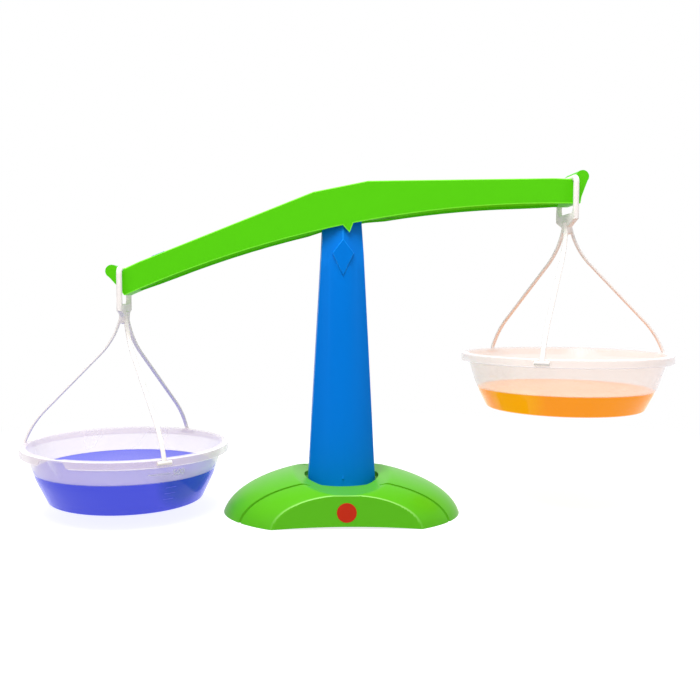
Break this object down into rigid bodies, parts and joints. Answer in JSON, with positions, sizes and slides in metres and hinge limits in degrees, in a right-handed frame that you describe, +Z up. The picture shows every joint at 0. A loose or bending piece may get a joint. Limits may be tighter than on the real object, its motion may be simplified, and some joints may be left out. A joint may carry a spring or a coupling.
{
  "type": "bucket balance",
  "caption": "School bucket balance in bright plastic: green arched beam and domed base, blue tapered column, and milky see-through pans on white hangers, tipped to one side.",
  "frame": {"origin": "middle of the base's underside, on the table", "axes": "+X to the right along the beam, +Y away from the front face with the round badge, +Z up"},
  "size_m": [0.5388, 0.1694, 0.2815],
  "materials": {
    "green_shell": "smooth moulded, semi-gloss",
    "green_beam": "smooth moulded, semi-gloss",
    "blue_column": "smooth moulded, semi-gloss",
    "blue_slider": "smooth moulded, semi-gloss",
    "red_badge": "smooth moulded, satin",
    "white_nylon": "smooth moulded nylon",
    "milky_pan": "translucent, milky, smooth moulded",
    "dark_plate": "fine-grained moulded",
    "steel": "drawn and zinc plated"
  },
  "bodies": {
    "stand": {"base_shell": "green_shell", "base_plate": "dark_plate", "plate_screws": "steel", "column_screws": "steel", "badge": "red_badge", "column": "blue_column", "front_bearing": "white_nylon", "rear_bearing": "white_nylon"},
    "beam": {"beam": "green_beam", "fulcrum_pin": "steel"},
    "slider": {"zero_slider": "blue_slider"},
    "left_pan_set": {"left_hanger": "white_nylon", "left_pan": "milky_pan"},
    "right_pan_set": {"right_hanger": "white_nylon", "right_pan": "milky_pan"}
  },
  "joints": [
    {"name": "beam_tilt", "type": "hinge", "parent": "stand", "child": "beam", "pos_m": [0, 0, 0.257], "axis": [0, 1, 0], "range_deg": [0, 22.8]},
    {"name": "left_hang", "type": "hinge", "parent": "beam", "child": "left_pan_set", "pos_m": [-0.17952, 0, 0.20122], "axis": [0, 1, 0], "range_deg": [-22.8, 0]},
    {"name": "right_hang", "type": "hinge", "parent": "beam", "child": "right_pan_set", "pos_m": [0.18711, 0, 0.27514], "axis": [0, 1, 0], "range_deg": [-22.8, 0]},
    {"name": "zero_slide", "type": "slide", "parent": "beam", "child": "slider", "axis": [0.9285, 0, 0.3714], "range_m": [-0.01, 0.01]}
  ],
  "couplings": [
    {"joint": "left_hang", "follows": "beam_tilt", "ratio": -1},
    {"joint": "right_hang", "follows": "beam_tilt", "ratio": -1}
  ]
}
